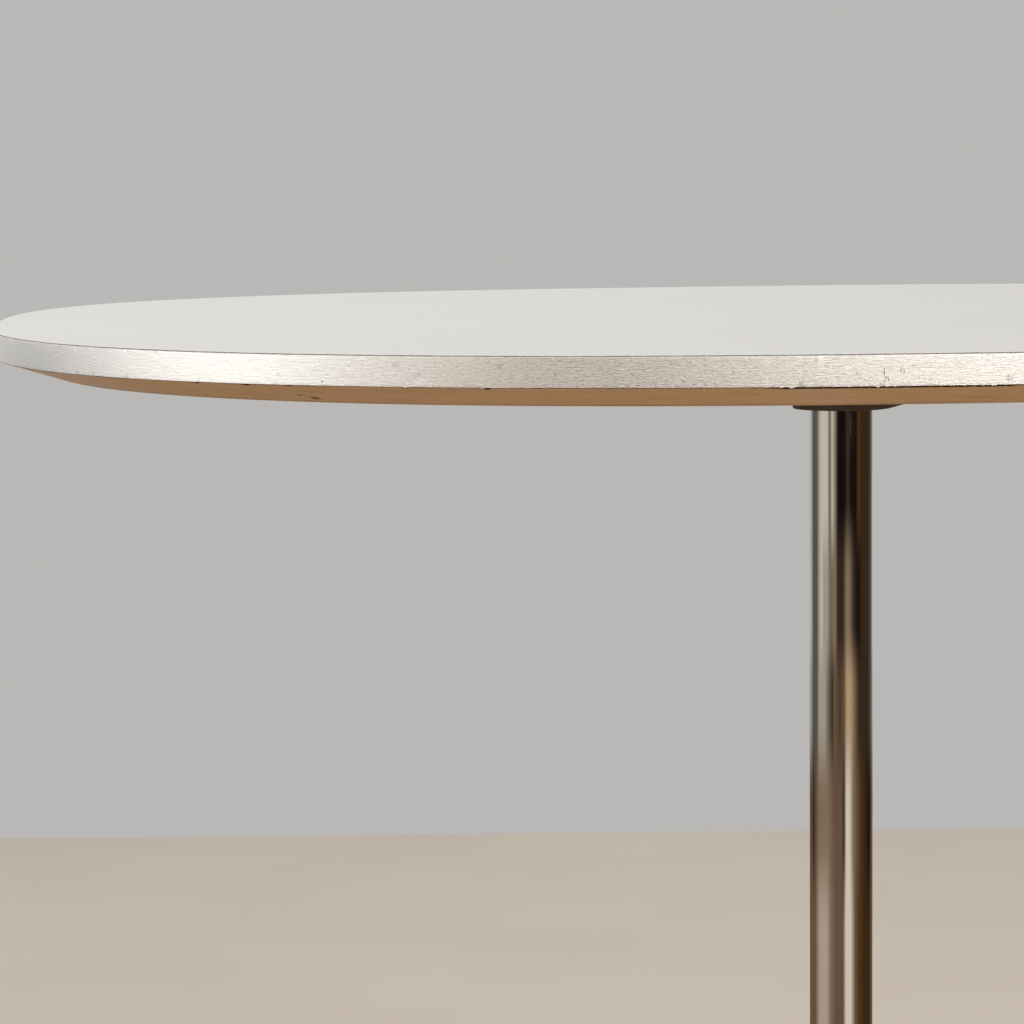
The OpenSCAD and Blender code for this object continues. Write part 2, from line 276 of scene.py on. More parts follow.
# ---- material helpers
class Shade:
    """A small wrapper round one material's nodes."""

    def __init__(self, name, **sockets):
        self.material = bpy.data.materials.new(name)
        self.material.use_nodes = True
        self.tree = self.material.node_tree
        self.bsdf = self.tree.nodes["Principled BSDF"]
        for key, value in sockets.items():
            self.set(key.replace("_", " "), value)
        self.coords = self.node("TexCoord").outputs["Object"]
        self.height = None
        self.colour = None

    def set(self, key, value):
        self.plug(value, self.bsdf.inputs[key])

    def node(self, kind, inputs=None, **values):
        made = self.tree.nodes.new("ShaderNode" + kind)
        for key, value in values.items():
            setattr(made, key, value)
        for key, value in (inputs or {}).items():
            self.plug(value, made.inputs[key])
        return made

    def plug(self, value, socket):
        if isinstance(value, bpy.types.NodeSocket):
            self.tree.links.new(value, socket)
        elif isinstance(value, (tuple, list)) and len(value) == 3 and socket.type == "RGBA":
            socket.default_value = (*value, 1)
        else:
            socket.default_value = value

    def stretch(self, x, y, z, turn=(0, 0, 0), source=None):
        inputs = {"Vector": source or self.coords, "Scale": (x, y, z), "Rotation": turn}
        return self.node("Mapping", inputs).outputs["Vector"]

    def noise(self, scale, detail=4.0, rough=0.55, vector=None, distort=0.0):
        inputs = {"Vector": vector or self.coords, "Scale": scale, "Detail": detail, "Roughness": rough,
                  "Distortion": distort}
        return self.node("TexNoise", inputs).outputs["Fac"]

    def specks(self, scale, small, large):
        """Round marks, one to a cell, from a small radius to a large one in the cell's own units."""
        made = self.node("TexVoronoi", {"Vector": self.coords, "Scale": scale})
        return self.between(made.outputs["Distance"], large, small)

    def math(self, kind, a, b=0.0):
        return self.node("Math", {0: a, 1: b}, operation=kind).outputs[0]

    def times(self, a, b):
        return self.math("MULTIPLY", a, b)

    def between(self, value, low, high, to_low=0.0, to_high=1.0):
        inputs = {"Value": value, "From Min": low, "From Max": high, "To Min": to_low, "To Max": to_high}
        return self.node("MapRange", inputs, interpolation_type="SMOOTHSTEP").outputs["Result"]

    def blend(self, factor, a, b):
        made = self.node("Mix", {"Factor": factor, "A": a, "B": b}, data_type="RGBA")
        return made.outputs["Result"]

    def base(self, factor, a, b):
        """Sets the base colour, from one to the other as the factor says."""
        self.colour = self.blend(factor, a, b)
        self.set("Base Color", self.colour)

    def paint(self, where, share, colour):
        """Lays a share of a colour over the base colour."""
        self.base(self.times(where, share), self.colour, colour)

    def rough(self, level, *extras):
        """Sets the roughness to a level, plus a share of each extra."""
        for value, share in extras:
            level = self.math("ADD", level, self.times(value, share))
        self.set("Roughness", level)

    def xyz(self, vector=None):
        return self.node("SeparateXYZ", {0: vector or self.coords}).outputs

    def bump(self, height, distance, strength):
        """Adds a bump, height times distance in metres, on top of the last one."""
        made = self.node("Bump", {"Height": height, "Distance": distance, "Strength": strength})
        if self.height:
            self.plug(self.height, made.inputs["Normal"])
        self.height = made.outputs["Normal"]
        self.set("Normal", self.height)

    def dashes(self, vector, size, keep):
        """Marks, at most one to a cell of the stretched space. keep is the share of cells that have one."""
        made = self.node("TexVoronoi", {"Vector": vector, "Scale": 1.0})
        mark = self.between(made.outputs["Distance"], size, size * 0.45)
        chosen = self.math("GREATER_THAN", self.xyz(made.outputs["Color"])[0], 1 - keep)
        return self.times(mark, chosen)

    def hairlines(self, turn, length, width, keep):
        """Straight fine scratches in one direction of a flat surface."""
        across = self.stretch(1, 1, 0, (0, 0, turn))
        return self.dashes(self.stretch(0.5 / length, 0.35 / width, 1, source=across), 0.25, keep)

    def unrolled(self):
        """How far along the rim of the top and how high, in metres, with the join at the back."""
        x, y, z = self.xyz()
        angle = self.math("ARCTAN2", x, self.times(y, -1.0))
        return self.node("CombineXYZ", {0: self.times(angle, HALF), 1: z}).outputs[0]

    def rim_noise(self, flat, along, up, detail, rough, distort=0.0):
        return self.noise(1.0, detail, rough, self.stretch(along, up, 1, source=flat), distort)

    def spot(self, flat, degrees, height, half_length, half_height):
        """One mark on the unrolled rim. The height is in metres and the mark's own sizes are in mm."""
        x, y, _ = self.xyz(flat)
        a = self.math("ABSOLUTE", self.math("SUBTRACT", x, rim(degrees)))
        b = self.math("ABSOLUTE", self.math("SUBTRACT", y, height))
        return self.times(self.between(a, half_length * MM, half_length * MM * 0.4),
                          self.between(b, half_height * MM, half_height * MM * 0.6))


def rim(degrees):
    """How far along the rim of the top from its front, in metres."""
    return radians(degrees) * HALF


def srgb(r, g, b):
    def lin(v):
        v /= 255
        return v / 12.92 if v <= 0.04045 else ((v + 0.055) / 1.055) ** 2.4
    return lin(r), lin(g), lin(b)


# ---- materials
# Marks on the rim, one by one: degrees from the front, depth under the sheet, half length and half height in
# mm.
RIM_MARKS = ((-8.72, 7.4, 0.27, 1.8), (-8.62, 10.2, 0.6, 0.28), (-8.50, 10.9, 0.24, 0.8),
             (-8.70, 11.6, 0.4, 0.24), (-7.88, 7.1, 0.22, 1.0), (-7.70, 7.1, 0.20, 0.9),
             (-37.0, 12.0, 0.5, 0.4), (-10.1, 8.2, 0.4, 0.4), (22.4, 4.6, 0.2, 1.5), (58.0, 8.2, 0.14, 2.2),
             (97.0, 6.0, 0.9, 0.15), (171.0, 9.0, 0.16, 1.4), (-118.0, 5.4, 0.7, 0.16),
             (-96.0, 10.2, 0.16, 1.1), (141.0, 3.9, 0.3, 0.3))
RIM_SMUDGES = ((-2.3, 11.2, 1.8, 1.7), (-27.6, 4.3, 3.4, 1.6), (-33.0, 4.0, 2.2, 1.1), (74.0, 9.0, 3.0, 2.0),
               (-150.0, 5.0, 4.0, 2.0), (118.0, 10.5, 2.4, 1.4))
# Chips in the board's bevel: degrees from the front, then height above z = 0, half length and half height.
CORE_STAINS = ((-39.45, 697.6, 2.8, 0.9), (-40.0, 699.2, 1.8, 0.5), (62.0, 698.5, 1.4, 0.5),
               (154.0, 700.2, 1.8, 0.4))


def laminate_white():
    s = Shade("laminate_white", Specular_IOR_Level=0.36)
    lines = s.hairlines(0.5, 0.035, 0.00018, 0.16)
    for turn, length, keep in ((-0.9, 0.05, 0.14), (1.3, 0.02, 0.10), (0.1, 0.08, 0.12)):
        lines = s.math("MAXIMUM", lines, s.hairlines(turn, length, 0.0002, keep))
    s.base(s.noise(2.2, 3.0), srgb(214, 213, 209), srgb(221, 220, 217))
    s.paint(s.between(s.noise(9.0, 5.0, 0.65), 0.56, 0.78), 0.12, srgb(206, 200, 189))
    s.paint(s.dashes(s.stretch(45, 45, 0), 0.016, 0.3), 0.5, srgb(140, 130, 116))
    s.paint(lines, 0.10, srgb(184, 178, 168))
    s.rough(s.between(s.noise(30.0, 5.0), 0.2, 0.8, 0.34, 0.46), (lines, 0.15))
    s.bump(s.noise(900.0, 3.0, 0.6), 0.00002, 0.6)
    s.bump(s.times(lines, -1.0), 0.00003, 0.7)
    return s.material


def laminate_seam():
    s = Shade("laminate_seam", Specular_IOR_Level=0.3)
    flat = s.unrolled()
    patches = s.between(s.rim_noise(flat, 45, 200, 4.0, 0.65), 0.38, 0.62)
    dust = s.between(s.rim_noise(flat, 400, 900, 3.0, 0.6), 0.5, 0.7)
    rubbed = s.between(s.xyz(flat)[1], SHEET_Z + 0.00030, SHEET_Z + 0.00018)
    s.base(patches, srgb(52, 52, 55), srgb(96, 97, 101))
    s.paint(dust, 0.35, srgb(182, 180, 176))
    s.paint(rubbed, 1.0, srgb(196, 194, 190))
    s.rough(s.between(patches, 0.2, 0.8, 0.55, 0.8))
    s.bump(dust, 0.00006, 0.7)
    return s.material


def edge_aluminium():
    s = Shade("edge_aluminium", Metallic=1.0, Anisotropic=0.5)
    flat = s.unrolled()
    brush = s.rim_noise(flat, 130, 1500, 3.0, 0.6)
    fine = s.rim_noise(flat, 420, 2400, 2.0, 0.5)
    grain = s.rim_noise(flat, 900, 2200, 2.0, 0.6)
    dirt = s.between(s.rim_noise(flat, 55, 130, 6.0, 0.7), 0.60, 0.78)
    scribble = s.between(s.rim_noise(flat, 1300, 1500, 3.0, 0.7), 0.50, 0.60)
    ticks = s.math("MAXIMUM", s.dashes(s.stretch(900, 210, 1, (0, 0, 0.25), flat), 0.2, 0.012),
                   s.dashes(s.stretch(160, 1500, 1, (0, 0, 0.5), flat), 0.2, 0.02))
    deep_marks = s.dashes(s.stretch(230, 300, 1, source=flat), 0.10, 0.05)
    for marks, cover in ((RIM_MARKS, 1.0), (RIM_SMUDGES, s.times(scribble, 0.75))):
        for degrees, drop, *size in marks:
            where = s.spot(flat, degrees, SHEET_Z - drop * MM, *size)
            deep_marks = s.math("MAXIMUM", deep_marks, s.times(where, cover))
    along, height, _ = s.xyz(flat)
    arrises = s.math("MAXIMUM", s.between(height, SHEET_Z - 0.0006, SHEET_Z - 0.0001),
                     s.between(height, STRIP_Z + 0.0006, STRIP_Z + 0.0001))
    glints = s.between(s.rim_noise(flat, 420, 900, 3.0, 0.6), 0.58, 0.66)
    worn = s.times(s.between(along, rim(-48), rim(-26), 0.22, 1.0),
                   s.between(along, rim(150), rim(179), 1.0, 0.22))
    s.base(s.rim_noise(flat, 14, 60, 4.0, 0.6), (0.86, 0.85, 0.835), (0.93, 0.923, 0.91))
    s.paint(s.between(brush, 0.35, 0.65, 0.0, 0.42), s.between(worn, 0, 1, 0.6, 1), (0.66, 0.645, 0.615))
    s.paint(s.between(grain, 0.49, 0.62), worn, (1.0, 0.99, 0.965))
    s.paint(s.times(s.between(fine, 0.48, 0.36), worn), 0.6, (0.54, 0.525, 0.495))
    s.paint(dirt, 0.22, (0.50, 0.45, 0.38))
    s.paint(ticks, 0.45, (0.36, 0.33, 0.28))
    s.paint(deep_marks, 0.92, (0.16, 0.13, 0.10))
    s.paint(arrises, glints, (1.0, 0.99, 0.97))
    s.rough(s.between(fine, 0.25, 0.75, 0.24, 0.36), (s.between(brush, 0.3, 0.7, 0.0, 0.08), 1.0),
            (dirt, 0.16), (deep_marks, 0.25))
    s.bump(brush, 0.00006, 0.7)
    s.bump(fine, 0.00003, 0.8)
    s.bump(grain, 0.00003, 0.6)
    s.bump(s.times(s.math("MAXIMUM", deep_marks, ticks), -1.0), 0.00012, 0.8)
    tangent = s.node("Tangent", direction_type="RADIAL", axis="Z")
    s.set("Tangent", tangent.outputs[0])
    return s.material


def core_wood():
    s = Shade("core_wood", Specular_IOR_Level=0.5, Coat_Weight=0.6, Coat_Roughness=0.28)
    flat = s.unrolled()
    fibre = s.rim_noise(flat, 26, 520, 5.0, 0.65, 0.4)
    grain = s.noise(800.0, 3.0, 0.6)
    pits = s.dashes(s.stretch(120, 240, 1, source=flat), 0.09, 0.03)
    ragged = s.between(s.rim_noise(flat, 500, 2200, 4.0, 0.7), 0.34, 0.46)
    z = s.xyz()[2]
    s.base(s.noise(7.0, 4.0, 0.6), srgb(186, 146, 102), srgb(198, 158, 114))
    s.paint(s.between(fibre, 0.40, 0.70), 0.55, srgb(162, 122, 82))
    s.paint(s.between(grain, 0.45, 0.75), 0.28, srgb(216, 180, 136))
    s.paint(pits, 0.8, srgb(84, 52, 28))
    # Painted shade: the top half millimetre of the bevel, just under the strip, is painted darker.
    s.paint(s.between(z, STRIP_Z - 0.0005, STRIP_Z - 0.0001), 0.35, srgb(130, 96, 64))
    for degrees, height, *size in CORE_STAINS:
        s.paint(s.spot(flat, degrees, height * MM, *size), ragged, srgb(60, 34, 18))
    s.paint(s.between(z, CORE_Z + 0.0004, CORE_Z), 0.15, srgb(120, 84, 52))
    s.rough(s.between(s.noise(45.0, 4.0), 0.2, 0.8, 0.42, 0.56))
    s.bump(fibre, 0.00005, 0.5)
    s.bump(grain, 0.00002, 0.6)
    s.bump(s.times(pits, -1.0), 0.0003, 0.8)
    return s.material


# Painted shade: the walls of the gap under the strip are painted dark brown to look like the shade in the
# gap. The noise also gives them a crumbly bump.
def painted_gap_shade():
    s = Shade("painted_gap_shade", Specular_IOR_Level=0.2)
    shaded_crumbs = s.noise(900.0, 4.0, 0.7)
    s.base(s.between(shaded_crumbs, 0.45, 0.65), srgb(34, 22, 14), srgb(92, 62, 38))
    s.rough(s.between(shaded_crumbs, 0.3, 0.7, 0.75, 0.95))
    s.bump(shaded_crumbs, 0.0002, 0.8)
    return s.material


def backing_brown():
    s = Shade("backing_brown", Specular_IOR_Level=0.3)
    cloud = s.noise(5.0, 5.0, 0.65)
    paper = s.noise(1.0, 4.0, 0.7, s.stretch(60, 900, 60))
    s.base(cloud, srgb(92, 66, 46), srgb(112, 84, 60))
    s.paint(paper, 0.3, srgb(74, 50, 34))
    s.paint(s.between(s.noise(22.0, 6.0, 0.7), 0.55, 0.8), 0.25, srgb(150, 132, 112))
    s.paint(s.hairlines(0.3, 0.06, 0.0003, 0.2), 0.4, srgb(150, 124, 96))
    s.rough(s.between(cloud, 0.2, 0.8, 0.6, 0.8))
    s.bump(paper, 0.00004, 0.5)
    s.bump(s.noise(1200.0, 2.0), 0.00002, 0.6)
    return s.material


def painted_iron(name, dark, light, rough, lacquer):
    s = Shade(name, Specular_IOR_Level=0.4, Coat_Weight=lacquer, Coat_Roughness=0.22)
    cloud = s.noise(14.0, 5.0, 0.6)
    dust = s.between(s.noise(30.0, 6.0, 0.7), 0.48, 0.78)
    chips = s.times(s.specks(70.0, 0.02, 0.075), s.between(s.noise(11.0, 4.0), 0.62, 0.70))
    s.base(cloud, dark, light)
    s.paint(dust, 0.14, srgb(122, 112, 100))
    s.paint(s.dashes(s.stretch(30, 700, 160, (0, 0, 0.6)), 0.2, 0.05), 0.4, srgb(110, 100, 90))
    s.paint(chips, 0.8, srgb(140, 134, 126))
    s.rough(s.between(cloud, 0.2, 0.8, rough, rough + 0.12), (dust, 0.2))
    s.bump(s.noise(95.0, 5.0, 0.6), 0.00018, 0.5)
    s.bump(s.noise(420.0, 2.0, 0.5), 0.00003, 0.6)
    s.bump(s.times(chips, -1.0), 0.00015, 0.8)
    return s.material


def column_chrome():
    s = Shade("column_chrome", Metallic=1.0)
    draw = s.noise(1.0, 3.0, 0.5, s.stretch(900, 900, 2.2))
    haze = s.between(s.noise(19.0, 5.0, 0.65), 0.45, 0.8)
    specks = s.times(s.specks(150.0, 0.03, 0.075), s.between(s.noise(31.0, 3.0), 0.66, 0.74))
    lines = s.dashes(s.stretch(900, 900, 25), 0.25, 0.02)
    s.base(haze, (0.80, 0.79, 0.77), (0.70, 0.685, 0.66))
    s.paint(specks, 0.7, (0.93, 0.91, 0.87))
    s.rough(s.between(draw, 0.3, 0.7, 0.02, 0.05), (haze, 0.03), (lines, 0.06), (specks, 0.5))
    s.bump(s.noise(1.0, 2.0, 0.5, s.stretch(70, 70, 4)), 0.00008, 0.35)
    s.bump(s.noise(1.0, 3.0, 0.6, s.stretch(700, 700, 1.5)), 0.000012, 0.8)
    s.bump(specks, 0.00008, 0.8)
    return s.material


def zinc_steel():
    s = Shade("fastener_steel", Metallic=1.0)
    cloud = s.noise(60.0, 5.0, 0.6)
    grime = s.between(s.noise(90.0, 6.0, 0.7), 0.52, 0.8)
    s.base(s.between(s.noise(33.0, 3.0), 0.4, 0.7), (0.62, 0.60, 0.56), (0.66, 0.60, 0.48))
    s.paint(grime, 0.5, (0.22, 0.19, 0.15))
    s.paint(s.specks(700.0, 0.05, 0.12), 0.4, (0.30, 0.27, 0.24))
    s.rough(s.between(cloud, 0.2, 0.8, 0.24, 0.42), (grime, 0.25))
    s.bump(cloud, 0.00003, 0.5)
    s.bump(s.noise(1500.0, 2.0), 0.00001, 0.6)
    return s.material


def pad_black():
    s = Shade("pad_black", Specular_IOR_Level=0.4)
    cloud = s.noise(70.0, 5.0, 0.6)
    near_floor = s.between(s.xyz()[2], 0.006, 0.0, 0.25, 1.0)
    dust = s.times(s.between(s.noise(140.0, 6.0, 0.7), 0.42, 0.75), near_floor)
    s.base(cloud, srgb(26, 25, 24), srgb(40, 38, 36))
    s.paint(dust, 0.45, srgb(138, 128, 116))
    s.paint(s.dashes(s.stretch(90, 1400, 600, (0, 0, 0.5)), 0.2, 0.08), 0.35, srgb(90, 86, 80))
    s.rough(s.between(cloud, 0.2, 0.8, 0.5, 0.72))
    s.bump(s.noise(1400.0, 2.0, 0.6), 0.00004, 0.7)
    s.bump(cloud, 0.00006, 0.4)
    return s.material


WHITE = laminate_white()
WHITE_SEAM = laminate_seam()
ALUMINIUM = edge_aluminium()
WOOD = core_wood()
GAP_SHADE_PAINT = painted_gap_shade()
BACKING = backing_brown()
SPIDER_PAINT = painted_iron("iron_painted", srgb(55, 42, 30), srgb(69, 54, 40), 0.60, 0.0)
BASE_PAINT = painted_iron("base_painted", srgb(38, 34, 31), srgb(50, 45, 41), 0.34, 0.3)
CHROME = column_chrome()
STEEL = zinc_steel()
PLASTIC = pad_black()


# ---- the top
def slow(angle, seed, turns):
    """A smooth random value round the outline, about -1 to 1."""
    x, y = cos(angle) * turns, sin(angle) * turns
    return noise.noise((x + seed, y - seed, seed * 1.7))


def bump_at(angle, degrees, reach):
    """1 at a chosen place round the top, falling to 0 at the reach. Degrees are counted from the front."""
    apart = math.degrees(angle) - 270 - degrees
    apart = (apart + 180) % 360 - 180
    return max(0.0, 1 - (apart / reach) ** 2)


def make_sheet():
    """The white sheet. The groove under its edge is where the glue line shows as a thin dark seam."""
    arris, groove = 0.10 * MM, 0.05 * MM
    seam_top = SHEET_Z + 0.62 * MM
    rings = [(HALF * (1 - f), TOP_Z) for f in (0.02, 0.2, 0.4, 0.6, 0.8, 0.92, 0.975)]
    rings += [(1.2 * MM, TOP_Z)]
    rings += rounded([(0.6 * MM, TOP_Z), (0.0, TOP_Z), (0.0, seam_top), (groove, seam_top)], arris, 4)
    seam_start = len(rings) - 1
    rings += [(groove, SHEET_Z), (3 * MM, SHEET_Z)]

    def carve(j, angle):
        worn = max(0.0, slow(angle, 3.1, 160) - 0.30) * 0.3 * MM if seam_start - 6 < j < seam_start else 0.0
        open_seam = (0.30 * slow(angle, 6.6, 45) + 0.25 * slow(angle, 1.4, 210)) * 0.24 * MM
        return worn, (open_seam if seam_start - 4 < j <= seam_start else 0.0)

    sheet = top_ring_piece("top_sheet", rings, [WHITE, WHITE_SEAM],
                           slot_of=lambda j: int(seam_start <= j), carve=carve)
    place(sheet, "laminate_white", "top_laminate")


TONGUE = 1.2 * MM
STRIP_MID = (STRIP_LO.z + STRIP_HI.z) / 2
STRIP_T = 2 * MM
STRIP_STEPS = 4320


def gap_at(angle):
    """How far the wood's corner has come away from under the strip, 0 to 1, round the top."""
    open_run = max(bump_at(angle, -8.2, 6.8), 0.8 * bump_at(angle, 96, 9), 0.7 * bump_at(angle, 201, 12))
    nicks = max(0.0, slow(angle, 2.2, 60) - 0.34) * 3.2
    ragged = 1.15 + 0.9 * slow(angle, 8.1, 150)
    return min(1.0, max(0.0, min(1.0, open_run * 4.0) * ragged + nicks * ragged))


def make_band():
    """The aluminium strip: a flat face, tiny rounded arrises with knocks and burrs, and the tongue behind."""
    low, high = STRIP_Z + 0.02 * MM, SHEET_Z
    arris = 0.14 * MM
    face = [(0.0, low + (high - low) * k / 10) for k in range(1, 10)]
    rings = rounded([(STRIP_T, low), (0.0, low), face[0]], arris, 3)[:-1]
    first_face = len(rings)
    rings += face
    last_face = len(rings) - 1
    rings += rounded([face[-1], (0.0, high), (STRIP_T, high)], arris, 3)[1:]
    outside = len(rings) - 1
    back = STRIP_T + 7.8 * MM
    rings += [(STRIP_T, STRIP_MID + TONGUE), (back, STRIP_MID + TONGUE)]
    rings += [(back, STRIP_MID - TONGUE), (STRIP_T, STRIP_MID - TONGUE)]

    def carve(j, angle):
        if not 0 < j < outside:
            return 0.0, 0.0
        x, y, z = cos(angle), sin(angle), rings[j][1]
        dimple = max(0.0, noise.noise((x * 150, y * 150, z * 260)) - 0.56) * 0.22 * MM
        wave = 0.02 * MM * (1 + noise.noise((x * 9, y * 9, z * 60)))
        on_face = first_face <= j <= last_face
        knock = 0.0 if on_face else max(0.0, slow(angle, 9.4, 170) - 0.40) * 0.35 * MM
        burr = 0.0
        if j < first_face:
            burr = max(0.0, slow(angle, 5.5, 330) - 0.22) * 1.5 * MM * gap_at(angle)
        return dimple + wave + knock, -burr

    band = top_ring_piece("edge_band", rings, [ALUMINIUM], closed=True, carve=carve, around=STRIP_STEPS)
    place(band, "edge_aluminium", "edge_strip")


def bevel_inset(z):
    return BEVEL_SLOPE * (STRIP_Z - z)


def make_core():
    """The board: the groove for the tongue, the bevel and its chips, and the gap where its corner is gone."""
    steps = 12
    corner = 0.12 * MM
    lip = 0.12 * MM
    clear = 0.2 * MM
    face, groove_back = STRIP_T + 0.05 * MM, STRIP_T + 8.1 * MM
    groove_top, groove_low = STRIP_MID + TONGUE + clear, STRIP_MID - TONGUE - clear
    rings = [(face, SHEET_Z), (face, groove_top), (groove_back, groove_top), (groove_back, groove_low),
             (face, groove_low), (face, STRIP_Z)]
    recess = len(rings)
    rings += [(corner, STRIP_Z), (corner * 0.3, STRIP_Z - corner * 0.4)]
    top_of_bevel = len(rings)
    bevel_top, bevel_low = STRIP_Z - corner, CORE_Z + lip * 0.25
    heights = [bevel_top + (bevel_low - bevel_top) * k / steps for k in range(steps + 1)]
    rings += [(bevel_inset(z), z) for z in heights]
    end_of_bevel = len(rings) - 1
    rings += [(bevel_inset(CORE_Z) + lip, CORE_Z)]
    gap_depth, gap_height = 2.2 * MM, 0.86 * MM

    def carve(j, angle):
        inward, drop = 0.0, 0.0
        gap = gap_at(angle)
        if j == recess:
            inward = gap * gap_depth
        elif j == recess + 1:
            inward, drop = gap * gap_depth, gap * gap_height * 0.9
        elif j == top_of_bevel:
            inward, drop = gap * bevel_inset(STRIP_Z - gap_height), gap * gap_height
        if j >= end_of_bevel - 1:
            inward += max(0.0, slow(angle, 4.4, 120) - 0.45) * 0.8 * MM
        if top_of_bevel < j <= end_of_bevel:
            across = rings[j][0] / bevel_inset(CORE_Z)
            for degrees, height, half_length, half_height in CORE_STAINS:
                where = (height * MM - CORE_Z) / (STRIP_Z - CORE_Z)
                a = bump_at(angle, degrees, math.degrees(half_length * MM / HALF) * 1.2)
                drop -= a * max(0.0, 1 - ((1 - across - where) / 0.09) ** 2) * 0.35 * MM
        return inward, -drop

    # The faces round the recess under the strip take the painted gap shade.
    core = top_ring_piece("core_panel", rings, [WOOD, GAP_SHADE_PAINT], carve=carve,
                          slot_of=lambda j: int(recess - 1 <= j <= recess + 1), around=STRIP_STEPS)
    place(core, "core_wood", "core_board")

    rings = [(bevel_inset(CORE_Z) + lip * 0.6, CORE_Z), (bevel_inset(CORE_Z), CORE_Z - SLIT),
             (BEVEL_INSET - 0.15 * MM, UNDER_Z + 0.05 * MM), (BEVEL_INSET + 0.1 * MM, UNDER_Z),
             (BEVEL_INSET + 1.2 * MM, UNDER_Z)]
    rings += [(HALF * f, UNDER_Z) for f in (0.15, 0.4, 0.7, 0.95)]
    back = top_ring_piece("backing_sheet", rings, [BACKING, WOOD], slot_of=lambda j: int(j < 3))
    place(back, "backing_brown", "backing_laminate")


make_sheet()
make_band()
make_core()


# ---- the spider under the top
HUB_R = HUB_HI.x
HUB_DEPTH = HUB_HI.z - HUB_LO.z
SPIDER_END = ARM_HI.x
SPIDER_WIDTH = ARM_HI.y - ARM_LO.y
SPIDER_TIP = 13 * MM
TIP_DEPTH = 6 * MM
SPIDER_ARMS = {"right": 0.0, "rear_left": TAU / 3, "front_left": 2 * TAU / 3}
SPIDER_SCREWS = (110 * MM, 192 * MM)
SCREW_SEAT = UNDER_Z - TIP_DEPTH
TUBE_R = TUBE_HI.x


def spider_depth(d):
    along = min(1.0, max(0.0, (d - HUB_R) / (SPIDER_END - HUB_R)))
    return TIP_DEPTH + (HUB_DEPTH - TIP_DEPTH) * (1 - along) ** 2


def spider_half_width(d):
    tip = SPIDER_END - SPIDER_TIP
    if d > tip:
        return sqrt(max(0.0, SPIDER_TIP ** 2 - (d - tip) ** 2))
    along = (d - HUB_R) / (tip - HUB_R)
    return SPIDER_WIDTH / 2 + (SPIDER_TIP - SPIDER_WIDTH / 2) * max(0.0, along)


def make_spider():
    profile = rounded([(TUBE_R + 0.05 * MM, HUB_LO.z), (HUB_R, HUB_LO.z), (HUB_R, HUB_HI.z)], 0.9 * MM, 6)
    ledge, seat = HUB_LO.z + 24 * MM, HUB_LO.z + 18 * MM
    inner = [(14 * MM, HUB_HI.z), (14 * MM, ledge), (ROD_BORE, ledge), (ROD_BORE, seat),
             (TUBE_R + 0.05 * MM, seat)]
    hub = lathe("spider_collar", profile + inner, [SPIDER_PAINT], 192, closed=True)
    place(hub, "iron_painted", "spider_hub")

    for name, angle in SPIDER_ARMS.items():
        straight = SPIDER_END - SPIDER_TIP
        stations = [HUB_R + (straight - HUB_R) * k / 26 for k in range(27)]
        stations += [straight + SPIDER_TIP * sin(k * pi / 28) for k in range(1, 14)]
        stations += [SPIDER_END - SLIT]
        sections = []
        for n, d in enumerate(stations):
            half, depth = spider_half_width(d), spider_depth(d)
            fillet = min(1.3 * MM, depth * 0.35, half * 0.5)
            section = []
            for y, z in rounded([(-half, 0.0), (-half, -depth), (half, -depth), (half, 0.0)], fillet, 6):
                x = d
                if n == 0:
                    x = sqrt(max(0.0, (HUB_R + SLIT) ** 2 - y * y))
                elif n < 4:
                    x = d - (HUB_R - sqrt(HUB_R ** 2 - y * y)) * (1 - n / 4)
                section.append((x, y, UNDER_Z + z))
            sections.append(section)
        arm = loft("spider_leg_" + name, sections, [SPIDER_PAINT])
        low = UNDER_Z - HUB_DEPTH - 1 * MM
        hole = [(0, low), (6 * MM, low), (6 * MM, SCREW_SEAT), (0, SCREW_SEAT)]
        turned(cut(arm, [lathe("cutter", hole, [SPIDER_PAINT], 48, (d, 0, 0)) for d in SPIDER_SCREWS]), angle)
        place(arm, "iron_painted", "spider_arm_" + name)

    # Half the outline of a screw in mm: the dome of its head, and then its shank.
    outline = [(0.0, -3.0), (1.2, -2.95), (2.4, -2.7), (3.4, -2.2), (4.1, -1.4), (4.45, -0.5), (4.5, -0.1),
               (4.3, 0.0), (2.5, 0.0), (2.5, 16.8), (1.4, 18.4), (0.0, 20.0)]
    profile = [(r * MM, SCREW_SEAT + z * MM) for r, z in outline]
    heads = []
    for angle in SPIDER_ARMS.values():
        for k, d in enumerate(SPIDER_SCREWS):
            head = lathe("screw", profile, [STEEL], 48, (d, 0, 0))
            slots = []
            for turn in (0, 1):
                slot = bar("cutter", 5.0 * MM, 1.05 * MM, 1.5 * MM, STEEL)
                turned(slot, 0.4 + 1.3 * k + angle + turn * pi / 2)
                slot.data.transform(Matrix.Translation((d, 0, SCREW_SEAT - 2.6 * MM)))
                slots.append(slot)
            heads.append(turned(cut(head, slots), angle))
    screws = smooth(joined("spider_wood_screws", heads))
    place(screws, "fastener_steel", "spider_screws")


def bar(name, length, width, height, material):
    """A tapered block, centred on the origin, used to cut a screw's recess."""
    verts = []
    for z, grow in ((-height / 2, 1.15), (height / 2, 0.55)):
        for x, y in ((-1, -1), (1, -1), (1, 1), (-1, 1)):
            verts.append((x * length / 2 * grow, y * width / 2, z))
    faces = [(0, 3, 2, 1), (4, 5, 6, 7), (0, 1, 5, 4), (1, 2, 6, 5), (2, 3, 7, 6), (3, 0, 4, 7)]
    return new_object(name, verts, faces, [material])


make_spider()


